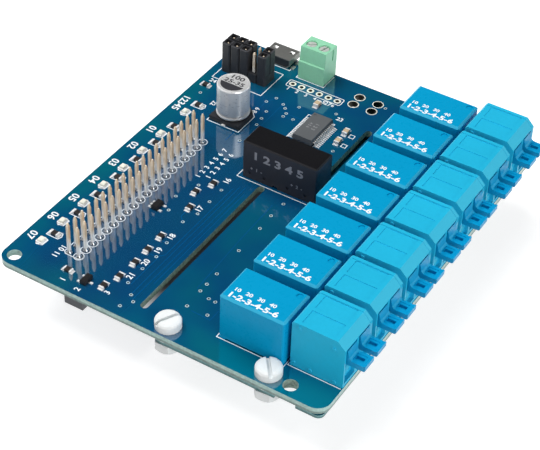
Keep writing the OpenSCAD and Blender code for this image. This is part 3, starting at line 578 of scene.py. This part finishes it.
def pin_finish(gold, tin):
    """Square pins: gold plating on the upper contact length fades into tin lower down. The
    faces toward and away from the terminals are painted browner than the others: painted
    shade, one side of each pin darker as the light falls."""
    made = Nodes(bpy.data.materials.new("pin_plating"))
    fine = made.noise(700, 3, (6, 6, 0.6))
    high = made.across("Z", BOARD_ZERO[2] + 0.0022, BOARD_ZERO[2] + 0.0048)
    worn = made.ramp(fine, (0.35, (0.88, 0.87, 0.85, 1)), (0.6, WHITE))
    # Painted shade: faces that look along X are darker and browner.
    painted_side_shade = made.mix(made.facing("X"), WHITE, (0.74, 0.62, 0.5, 1))
    tone = made.mix(1, made.mix(high, linear(tin), linear(gold)), worn, "MULTIPLY")
    tone = made.mix(1, tone, made.mix(high, WHITE, painted_side_shade), "MULTIPLY")
    return made.surface({
        "Base Color": tone, "Roughness": made.grey(fine, 0.2, 0.34, *NOISE_RANGE),
        "Metallic": 0.05}, fine, 0.15, GRAIN_DEPTH)


def ink(colours):
    """The white print's one material."""
    made = bpy.data.materials.get("white_ink")
    return made or finish("white_ink", colours.ink, 0.06)


def dress(nodes, material):
    """Gives one material to every slot of these CAD nodes."""
    for node in nodes:
        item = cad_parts[node]
        for index in range(max(1, len(item.material_slots))):
            if not item.material_slots:
                item.data.materials.append(material)
            item.material_slots[index].material = material


def looks(context):
    return context.scene.board_sizes, context.scene.board_colours


# ---- operators

class RELAYBOARD_OT_boards(bpy.types.Operator):
    """Finish both boards: solder mask on the faces, laminate on the cut edges"""
    bl_idname = "relayboard.boards"
    bl_label = "Boards"

    def execute(self, context):
        c = context.scene.board_colours
        for name, node, mask, edge in (("solder_mask", "main_board", c.mask, c.laminate),
                                       ("cover_mask", "cover_board", c.cover, c.cover_edge)):
            dress([node], board_finish(name, node, mask, c.teal, edge, c.core))
        return {"FINISHED"}


class RELAYBOARD_OT_print_lines(bpy.types.Operator):
    """Print the white outlines, LED marks and rings on the main board"""
    bl_idname = "relayboard.print_lines"
    bl_label = "Printed lines"

    def execute(self, context):
        s, c = looks(context)
        w, h = s.line_width / MM, s.print_height / MM
        shapes = []

        def draw(path, closed=False):
            shapes.append(line(path, w, 0, h, closed))

        def bay(low, high, front, back):
            """Line round the front of a part, open behind."""
            x0, x1, y = low[0] - PRINT_GAP, high[0] + PRINT_GAP, low[1] - front
            draw([(x0, back), (x0, y), (x1, y), (x1, back)])

        for node, left, front, right, behind in FRAMES:
            low, high = node_box(node)
            draw(corners(low[0] - left, low[1] - front, high[0] + right, high[1] + behind), True)
        for terminal in TERMINALS:
            low, high = node_box(terminal)
            x, edge = low[0] - PRINT_GAP, BOARD_X - PRINT_GAP
            y0, y1 = low[1] - 0.1, high[1] + PRINT_GAP
            draw([(edge, y0), (x, y0), (x, y1), (edge, y1)])
        low, high = node_box("capacitor_base")
        x0, y0, x1, y1 = low[0] - PRINT_GAP, low[1] - 0.5, high[0] + PRINT_GAP, high[1] + PRINT_GAP
        draw([(x0, y0), (x1, y0), (x1, y1 - 1.9), (x1 - 1.7, y1), (x0 + 1.7, y1),
              (x0, y1 - 1.9)], True)
        low, high = node_box("supply_housing")
        bay(low, high, PRINT_GAP, high[1] - 1.2)
        low, high = node_box("usb_shell")
        bay(low, high, 0.4, low[1] + 1.5)
        x, y, n = HEADER
        x1 = x + GRID
        draw([(x - 1.1, y + (n - 1) * GRID + 0.9), (x - 1.1, y - 0.2), (x - 0.5, y - 0.8),
              (x1 + 0.5, y - 0.8), (x1 + 1.0, y - 0.3), (x1 + 1.0, y + 0.4)])
        shapes.append(copies(ring(HEADER_RING_R, HEADER_RING_R + w, 0, h, s.steps),
                             [(x1, y + k * GRID) for k in range(n)]))
        x, y, n = SPARE_HOLES
        draw(rounded(x - SPARE_MARGIN, y - SPARE_MARGIN, x + (n - 1) * GRID + SPARE_MARGIN,
                     y + SPARE_MARGIN, 0.5), True)
        square = corners(-MARK_HALF, -MARK_HALF, MARK_HALF, MARK_HALF)
        shapes.append(copies(line(square, w, 0, h, True), CAPACITOR_MARKS))
        shapes.append(copies(slab(LED_MARK, 0, h), LED_PLACES))
        shapes.append(copies(line(RESISTOR_MARK, w, 0, h, True),
                             [(x, y) for x, y, angle in CHIP_RESISTORS[:len(LED_PLACES)]]))
        put("board_lines", "led_white", (ink(c), joined(shapes)))
        return {"FINISHED"}


class RELAYBOARD_OT_print_figures(bpy.types.Operator):
    """Print plain figures beside the parts on the main board"""
    bl_idname = "relayboard.print_figures"
    bl_label = "Printed figures"

    def execute(self, context):
        s, c = looks(context)
        shapes = [lettering(text, size, 0, s.print_height / MM, x, y, angle)
                  for text, size, x, y, angle in FIGURES]
        put("board_figures", "led_white", (ink(c), joined(shapes)))
        return {"FINISHED"}


class RELAYBOARD_OT_tracks(bpy.types.Operator):
    """Lay the copper tracks and the small plated holes that show in the mask"""
    bl_idname = "relayboard.tracks"
    bl_label = "Tracks and vias"

    def execute(self, context):
        s, c = looks(context)
        copper = finish("mask_over_copper", [v * 1.1 + 0.012 for v in c.mask], 0.1, (0.1, 0.2),
                        1200, 0.05, coat=1.0)
        rim = finish("via_rim", (0.8, 0.88, 0.9), 0.1, (0.3, 0.4), 1500, 0.1, metal=0.2)
        # Painted shade: a dark disc where each via's open hole would be; the hole itself is not
        # cut.
        hole = finish("via_hole_painted_shade", (0.01, 0.05, 0.08), 0.1, (0.5, 0.6), 1500, 0.1)
        width, r = s.track_width / MM, s.via_radius / MM
        bead = [(r - 0.2, 0), (r, 0), (r - 0.03, 0.04), (r - 0.1, 0.055), (r - 0.17, 0.04)]
        put("board_tracks", "board_blue",
            (copper, joined([line(path, width, 0, TRACK_T) for path in TRACKS])),
            (rim, copies(turned(bead, s.steps, closed=True), VIAS)),
            (hole, copies(turned([(r - 0.19, 0), (r - 0.19, 0.012)], s.steps), VIAS)))
        return {"FINISHED"}


class RELAYBOARD_OT_pads(bpy.types.Operator):
    """Plate the rims of the spare holes and the test holes on both faces"""
    bl_idname = "relayboard.pads"
    bl_label = "Plated holes"

    def execute(self, context):
        s = context.scene.board_sizes
        plate = finish("plated_copper", (0.95, 0.95, 0.9), 0.08, (0.3, 0.45), 1600, 0.2,
                       metal=0.15)
        barrel = finish("plated_wall", (0.3, 0.3, 0.28), 0.2, (0.25, 0.4), 1600, 0.2, metal=0.8)
        rims, walls = [], []
        # Radius of the hole, of its rim, thickness of its barrel, steps, and places.
        for r, r_rim, wall, steps, places in (
                (0.5, 0.92, 0.04, s.steps + 4, row(*SPARE_HOLES)),
                (1.19, 1.42, 0.05, s.steps + 8, PROBE_HOLES)):
            for z in (0, -BOARD_T - RIM_T):
                rims.append(copies(ring(r, r_rim, z, z + RIM_T, steps), places))
            walls.append(copies(ring(r - wall, r, -BOARD_T, 0, steps), places))
        put("plated_rims", "tinned", (plate, joined(rims)), (barrel, joined(walls)))
        return {"FINISHED"}


class RELAYBOARD_OT_solder(bpy.types.Operator):
    """Set a solder joint round every pin that goes through the board"""
    bl_idname = "relayboard.solder"
    bl_label = "Solder joints"

    def execute(self, context):
        s = context.scene.board_sizes
        solder = finish("solder", (0.82, 0.83, 0.84), 0.15, (0.14, 0.28), 1100, 0.3, metal=1.0)

        def joint(neck, height):
            """Profile r(z) = neck + (foot - neck)(1 - z/h)^2, the hollow curve of a fillet."""
            t, foot = np.linspace(0, 1, 6), s.solder_radius / MM
            return turned(np.column_stack([neck + (foot - neck) * (1 - t) ** 2, height * t]),
                          s.steps)

        def below(shape):
            """The same joint hung under the board, its faces turned back outwards."""
            points, faces = shape
            return points * (1, 1, -1) + (0, 0, -BOARD_T), [f[::-1] for f in faces]

        x, y, n = HEADER
        header = [place for k in range(n) for place in row(x, y + GRID * k, 2)]
        x, y, n = JUMPERS
        under = row(x, y, n) + row(x, y + GRID, n)
        for relay in RELAYS:
            mid, low, high = middle(relay)
            under += [(low[0] + px, mid[1] + side * RELAY_PINS[1])
                      for px in RELAY_PINS[0] for side in (-1, 1)]
        for terminal in TERMINALS:
            low, high = node_box(terminal)
            under += [(low[0] + px, low[1] + py) for px in TERMINAL_PINS[0]
                      for py in TERMINAL_PINS[1]]
        mid, low, high = middle("converter_case")
        under += [(low[0] + CONVERTER_PINS[0] + GRID * i, mid[1]) for i in CONVERTER_PINS[1]]
        put("solder_joints", "tinned", (solder, joined([
            copies(joint(*JOINT_ABOVE), header), copies(below(joint(*JOINT_BELOW)), under)])),
            smooth=True)
        return {"FINISHED"}


class RELAYBOARD_OT_chips(bpy.types.Operator):
    """Build the chip resistors, chip capacitors, transistors and LEDs with their metal ends"""
    bl_idname = "relayboard.chips"
    bl_label = "Chip parts"

    def execute(self, context):
        ends = finish("tinned_ends", (0.95, 0.95, 0.95), 0.08, (0.25, 0.42), 1500, 0.25,
                      metal=0.2)
        film = finish("resistor_film", (0.2, 0.19, 0.19), 0.25, (0.3, 0.5), 1800, 0.2)
        ceramic = finish("capacitor_ceramic", (0.78, 0.69, 0.57), 0.12, (0.45, 0.6), 1500, 0.25)
        body = finish("transistor_epoxy", (0.13, 0.13, 0.14), 0.2, (0.45, 0.6), 1800, 0.3)
        lens = finish("led_lens", (0.93, 0.93, 0.88), 0.05, (0.2, 0.3), 1200, 0.1, coat=0.4)
        pad = moved(pillow(0.7, 0.45, 0.1, [(0, 0), (0.1, 0.1)]), y=-1.05)

        def chip(name, h, material, places):
            """Chip 2.1 by 1.3: a body between two rounded ends that stand slightly proud."""
            soft = [(0.1, 0), (0, 0.08), (0, h - 0.1), (0.05, h - 0.03), (0.14, h)]
            cap = moved(pillow(0.67, 0.22, 0.08, soft), y=-0.84)
            mid = pillow(0.64, 0.66, 0.02, [(0, 0.02), (0, h - 0.05)])
            return put(name, "ceramic_tan", (ends, copies(pair(joined([cap, pad])), places)),
                       (material, copies(mid, places)))

        piece = chip("chip_resistor_set", CHIP_T, film, CHIP_RESISTORS)
        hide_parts("resistors")
        piece = chip("chip_capacitor_set", CHIP_CAPACITOR_T, ceramic, CHIP_CAPACITORS)
        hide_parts("chip_capacitors")
        lamp = pillow(0.65, 0.75, 0.15, [(0, 0.3), (0, 0.6), (0.12, 0.78), (0.35, 0.85)])
        base = pillow(0.7, 1.1, 0.08, [(0, 0), (0, 0.32), (0.04, 0.35)])
        piece = put("led_set", "led_white", (ends, copies(base, LED_PLACES)),
                    (lens, copies(lamp, LED_PLACES)))
        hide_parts("leds")
        dress(["small_transistors"], body)
        # Soldered feet of the two transistors and of the microcontroller's leads.
        foot = pillow(0.42, 0.3, 0.06, [(0, 0), (0, 0.16), (0.14, 0.26)])
        put("transistor_feet", "tinned", (ends, copies(foot, TRANSISTOR_FEET)))
        low, high = node_box("microcontroller_leads")
        lead_pad = pillow(0.75, 0.19, 0.05, [(0, 0), (0.03, 0.05)])
        lead_rows = np.linspace(low[1] + 0.14, high[1] - 0.14, LEADS_PER_SIDE).tolist()
        put("chip_pads", "tinned", (ends, copies(lead_pad, [
            (x, y) for x in (low[0] + 0.35, high[0] - 0.35) for y in lead_rows])))
        return {"FINISHED"}


class RELAYBOARD_OT_plastics(bpy.types.Operator):
    """Finish the moulded cases: relays, terminals, levers, supply terminal, nylon and blacks"""
    bl_idname = "relayboard.plastics"
    bl_label = "Moulded cases"

    def execute(self, context):
        c = context.scene.board_colours
        # Nodes, then name, colour, spread, roughness, grain and bump of their finish. In the
        # settings after them, edge is a painted highlight on the chamfers and walls is painted
        # light on the upright faces.
        for nodes, look, more in (
                (RELAYS, ("relay_sleeve", c.relay, 0.03, (0.26, 0.32), 1300, 0.02),
                 {"edge": 0.2, "gloss": 0.1, "walls": 1.14}),
                (TERMINALS, ("terminal_plastic", c.terminal, 0.05, (0.28, 0.4), 1100, 0.06),
                 {"edge": 0.12, "gloss": 0.1, "walls": 1.1}),
                (LEVERS, ("lever_plastic", c.lever, 0.06, (0.28, 0.4), 1100, 0.06),
                 {"edge": 0.12, "gloss": 0.3}),
                (["supply_housing"], ("green_plastic", c.green, 0.06, (0.4, 0.52), 1100, 0.2),
                 {"walls": 1.36}),
                (["cover_screws", "cover_nuts", "cover_washers"],
                 ("nylon", c.nylon, 0.05, (0.45, 0.6), 900, 0.25), {}),
                (["jumper_block", "jumper_caps", "usb_insert", "capacitor_base"],
                 ("black_moulding", c.black, 0.2, (0.42, 0.6), 1500, 0.35), {"edge": 0.12}),
                (["header_socket"],
                 ("socket_moulding", c.socket, 0.12, (0.42, 0.6), 1500, 0.3), {"edge": 0.1}),
                (["microcontroller"],
                 ("chip_epoxy", (0.36, 0.37, 0.38), 0.12, (0.4, 0.55), 2200, 0.4), {}),
                # Painted light: the converter's sides are seven times as bright as its nearly
                # black top.
                (["converter_case"],
                 ("converter_shell", (0.07, 0.07, 0.082), 0.15, (0.4, 0.55), 1800, 0.3),
                 {"edge": 0.1, "gloss": 0.35, "walls": 7.0})):
            dress(nodes, finish(*look, **more))
        return {"FINISHED"}


class RELAYBOARD_OT_metals(bpy.types.Operator):
    """Finish the pins, leads, can, screws and the USB shell"""
    bl_idname = "relayboard.metals"
    bl_label = "Metal parts"

    def execute(self, context):
        c = context.scene.board_colours
        dress(["header_pins", "jumper_pins"], pin_finish(c.gold, c.tin))
        dress(["relay_pins", "terminal_pins", "converter_pins", "supply_pins",
               "capacitor_leads", "microcontroller_leads"],
              finish("tinned_leads", (0.95, 0.95, 0.94), 0.08, (0.3, 0.45), 1500, 0.2,
                     metal=0.15))
        can = finish("aluminium_can", (0.93, 0.93, 0.93), 0.06, (0.26, 0.36), 900, 0.2, metal=0.5,
                     stretch=(1, 1, 8))
        dress(["capacitor_can"], can)
        # Rolled bead at the can's foot: a half round carried round the can's wall.
        mid, low, high = middle("capacitor_can")
        r, t = (high[0] - low[0]) / 2, np.linspace(-np.pi / 2, np.pi / 2, 9)
        bead = np.column_stack([r - 0.04 + 0.17 * np.cos(t), low[2] + 0.62 + 0.34 * np.sin(t)])
        bead = np.vstack([bead, [(r - 0.15, bead[-1, 1]), (r - 0.15, bead[0, 1])]])
        put("can_bead", "can_aluminium",
            (can, moved(turned(bead, CAN_STEPS, closed=True), *mid[:2])), smooth=True)
        zinc = finish("zinc_plate", (0.8, 0.82, 0.8), 0.15, (0.25, 0.45), 1300, 0.25, metal=0.35)
        dress(["supply_clamp_1", "supply_clamp_2"], zinc)
        for number, angle in ((1, 25), (2, 75)):
            self.clamp_screw("supply_screw_%d" % number, angle, zinc)
        # Shell tabs soldered beside the USB socket.
        tab = pillow(0.55, 0.75, 0.2, [(0, 0), (0.05, 0.22), (0.3, 0.42)])
        low, high = node_box("usb_shell")
        solder = finish("tab_solder", (0.82, 0.83, 0.84), 0.15, (0.14, 0.28), 1100, 0.3,
                        metal=0.7)
        put("usb_tabs", "tinned", (solder, copies(tab, [
            (x, low[1] + y) for x in (low[0] - 0.45, high[0] + 0.45) for y in (1.0, 3.4)])),
            smooth=True)
        dress(["usb_shell"], finish("shell_plate", (0.52, 0.52, 0.51), 0.1, (0.28, 0.42), 1300,
                                    0.2, metal=0.5))
        return {"FINISHED"}

    def clamp_screw(self, node, angle, zinc):
        """Slotted screw: shank and lower head as one turned profile, and two circular segments
        on top, half the slot's width off the middle, their rim moved in to round the edge."""
        mid, low, high = middle(node)
        r, shank, slot = (high[0] - low[0]) / 2, 0.76, 0.22
        top, floor, head = high[2], high[2] - 0.45, high[2] - 0.8
        rings = []
        for radius, z in ((r, floor - 0.02), (r, top - 0.2), (r - 0.06, top - 0.06),
                          (r - 0.2, top)):
            t = np.linspace(math.asin(slot / radius), math.pi - math.asin(slot / radius), 25)
            rings.append(level(radius * np.column_stack([np.cos(t), np.sin(t)]), z))
        lower = turned([(0.68, low[2]), (shank, low[2] + 0.08), (shank, head), (r, head),
                        (r, floor)], SCREW_STEPS)
        shape = joined([lower, moved(pair(stacked(rings)), angle=angle)])
        piece = put(node + "_detail", "screw_steel", (zinc, moved(shape, *mid[:2])),
                    body=node + "_body")
        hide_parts(node)


class RELAYBOARD_OT_relay_figures(bpy.types.Operator):
    """Print plain figures on the relays"""
    bl_idname = "relayboard.relay_figures"
    bl_label = "Relay figures"

    small: StringProperty(name="Small figures", description="Upper line on each relay",
                          default="10   20   30   40")
    large: StringProperty(name="Large figures", description="Lower line on each relay",
                          default="1-2-3-4-5-6")

    def execute(self, context):
        small = lettering(self.small, 1.05, 0, PRINT_ON_CASE, wide=1.1, heavy=0.025)
        large = lettering(self.large, 1.6, 0, PRINT_ON_CASE, wide=1.25, heavy=0.03)
        shapes = []
        for relay in RELAYS:
            mid, low, high = middle(relay)
            shapes.append(moved(small, mid[0] - 1.0, low[1] + 3.3, high[2]))
            shapes.append(moved(large, mid[0] - 0.3, low[1] + 1.4, high[2]))
        put("relay_figures", "led_white", (ink(context.scene.board_colours), joined(shapes)))
        return {"FINISHED"}


class RELAYBOARD_OT_part_figures(bpy.types.Operator):
    """Print plain figures on the converter, the capacitor and the microcontroller"""
    bl_idname = "relayboard.part_figures"
    bl_label = "Part figures"

    def execute(self, context):
        grey = finish("grey_ink", (0.62, 0.62, 0.65))
        dim = finish("dim_ink", (0.56, 0.56, 0.57))
        dark = finish("can_ink", (0.2, 0.2, 0.22), 0.15, (0.4, 0.55))
        # Figures stood up on the converter's front: y becomes z, and depth comes out.
        low, high = node_box("converter_case")
        points, faces = joined([
            lettering("1 2 3 4 5", 2.2, 0, PRINT_ON_CASE, low[0] + 9.6, 7.1, wide=1.3, heavy=0.03),
            lettering("+  1  -", 0.9, 0, PRINT_ON_CASE, low[0] + 3.7, 3.1),
            lettering("+  2  -", 0.9, 0, PRINT_ON_CASE, low[0] + 14.4, 3.1)])
        points = np.column_stack([points[:, 0], low[1] - points[:, 2], points[:, 1]])
        put("converter_figures", "chip_black", (grey, (points, faces)))
        mid, low, high = middle("microcontroller")
        z0, z1 = high[2], high[2] + PRINT_ON_CHIP
        put("chip_figures", "chip_black", (dim, joined([
            lettering("1 2 3", 1.0, z0, z1, mid[0] + 0.6, mid[1], -90),
            lettering("4 5 6", 0.8, z0, z1, mid[0] - 0.9, mid[1], -90)])))
        mid, low, high = middle("capacitor_can")
        r = (high[0] - low[0]) / 2 - 0.85
        z0, z1 = high[2] - 0.12, high[2] - 0.12 + PRINT_ON_CAN
        # Circular segment toward the front: the arc and its chord.
        t = np.linspace(-2.93, -0.21, 32)
        segment = mid[:2] + r * np.column_stack([np.cos(t), np.sin(t)])
        put("capacitor_mark", "can_aluminium", (dark, joined([
            slab(segment, z0, z1), lettering("100", 1.45, z0, z1, mid[0], mid[1] + 2.2, wide=1.3),
            lettering("25-35", 1.35, z0, z1, mid[0], mid[1] + 0.3, wide=1.3)])))
        return {"FINISHED"}


class RELAYBOARD_OT_stage(bpy.types.Operator):
    """Set the pale floor, the soft lights, the white surround and the camera"""
    bl_idname = "relayboard.stage"
    bl_label = "Stage"

    def execute(self, context):
        stage = context.scene.board_stage
        mesh = bpy.data.meshes.new("floor")
        mesh.from_pydata([(x, y, CAD_BOX[0][2]) for x, y in corners(
            -FLOOR_HALF, -FLOOR_HALF, FLOOR_HALF, FLOOR_HALF)], [], [(0, 1, 2, 3)])
        floor = added("floor", mesh)
        mesh.materials.append(self.pale())
        self.surround(context, stage.sky)
        key = self.lamp("key_light", KEY_PLACE, KEY_AIM, KEY_SIZE, stage.key_power)
        # The key lights faces without standing in their reflections, as behind a scrim.
        key.visible_glossy = False
        self.lamp("side_light", SIDE_PLACE, SIDE_AIM, SIDE_SIZE, stage.side_power)
        camera = added("camera", bpy.data.cameras.new("camera"))
        camera.data.lens, camera.data.sensor_width = stage.lens, SENSOR
        camera.data.clip_start, camera.data.clip_end = 0.01, 20
        camera.location, camera.rotation_euler = CAMERA_PLACE, CAMERA_TURN
        context.scene.camera = camera
        context.scene.view_settings.view_transform = "Standard"
        return {"FINISHED"}

    def pale(self):
        """Floor: a pale matt surface that glows a little to the camera, so that it reads as
        white while the object's shadow stays on it. Under the board the glow fades out and the
        floor's colour drops to dark grey: a painted shadow."""
        made = Nodes(bpy.data.materials.new("pale_floor"))
        x, y = BOARD_ZERO[0], BOARD_ZERO[1]
        # Painted shadow: a soft box under the board where the floor is dark and has no glow.
        under = made.times(made.across("X", x, x + 0.016),
                           made.across("X", x + 0.064, x + 0.046),
                           made.across("Y", y + 0.01, y + 0.026),
                           made.across("Y", y + 0.1, y + 0.076))
        grain = made.ramp(made.noise(30), (0.3, (0.5, 0.5, 0.5, 1)), (0.7, (0.54, 0.54, 0.54, 1)))
        matt = made.add("ShaderNodeBsdfDiffuse",
                        {"Color": made.mix(under, grain, (0.2, 0.2, 0.2, 1))})
        seen = made.rays("Is Camera Ray", "Is Glossy Ray", "Is Transmission Ray")
        glow = made.add("ShaderNodeEmission", {"Strength": made.times(
            made.maths("SUBTRACT", 1, under), 0.74, seen)})
        both = made.add("ShaderNodeAddShader", {0: matt.outputs[0], 1: glow.outputs[0]})
        made.add("ShaderNodeOutputMaterial", {"Surface": both.outputs[0]})
        return made.owner

    def surround(self, context, sky):
        """Even surround, bright low down and dim higher up, where level faces mirror it. The
        camera sees plain white, and so do gloss and glass low down."""
        context.scene.world = bpy.data.worlds.new("surround")
        made = Nodes(context.scene.world)
        up, gloss = made.along("Z", "Generated"), made.rays("Is Glossy Ray")

        def by_height(low, high):
            return made.grey(up, low, high, 0.08, 0.35)

        seen = made.maths("MINIMUM", made.maths(
            "ADD", made.rays("Is Camera Ray", "Is Transmission Ray"),
            made.times(gloss, by_height(1, 0))), 1)
        calm = made.maths("SUBTRACT", 1, made.times(gloss, 0.8))
        base = made.times(by_height(sky, sky * 0.08), calm)
        light = made.add("ShaderNodeBackground", {"Color": WHITE,
                                                  "Strength": made.grey(seen, base, 1)})
        made.add("ShaderNodeOutputWorld", {"Surface": light.outputs[0]})

    def lamp(self, name, place, aim, size, power):
        """Square light at a place, turned to look at its aim."""
        data = bpy.data.lights.new(name, "AREA")
        data.shape, data.size, data.energy = "SQUARE", size, power
        lamp = added(name, data)
        way = np.array(place) - np.array(aim)
        lamp.location = place
        lamp.rotation_euler = (math.atan2(math.hypot(way[0], way[1]), way[2]), 0,
                               math.atan2(way[1], way[0]) + math.pi / 2)
        return lamp


STEPS = (RELAYBOARD_OT_stage, RELAYBOARD_OT_boards, RELAYBOARD_OT_plastics,
         RELAYBOARD_OT_metals, RELAYBOARD_OT_print_lines, RELAYBOARD_OT_print_figures,
         RELAYBOARD_OT_tracks, RELAYBOARD_OT_pads, RELAYBOARD_OT_solder, RELAYBOARD_OT_chips,
         RELAYBOARD_OT_relay_figures, RELAYBOARD_OT_part_figures)


class RELAYBOARD_PT_sidebar(bpy.types.Panel):
    """The steps that dress the board, in their order"""
    bl_label = "Relay board"
    bl_idname = "RELAYBOARD_PT_sidebar"
    bl_space_type = "VIEW_3D"
    bl_region_type = "UI"
    bl_category = "Relay board"

    def draw(self, context):
        for step in STEPS:
            self.layout.operator(step.bl_idname)
        for name, group in GROUPS.items():
            box = self.layout.box()
            for setting in group.__annotations__:
                box.prop(getattr(context.scene, name), setting)


GROUPS = {"board_sizes": BoardPrintSizes, "board_colours": BoardColours,
          "board_stage": StageSettings}
CLASSES = (*GROUPS.values(), *STEPS, RELAYBOARD_PT_sidebar)


def register():
    for item in CLASSES:
        bpy.utils.register_class(item)
    for name, group in GROUPS.items():
        setattr(bpy.types.Scene, name, PointerProperty(type=group))


def unregister():
    for name in GROUPS:
        delattr(bpy.types.Scene, name)
    for item in reversed(CLASSES):
        bpy.utils.unregister_class(item)


def main():
    """Dress the board step by step."""
    register()
    for step in STEPS:
        group, name = step.bl_idname.split(".")
        getattr(getattr(bpy.ops, group), name)()


if __name__ == "__main__":
    main()
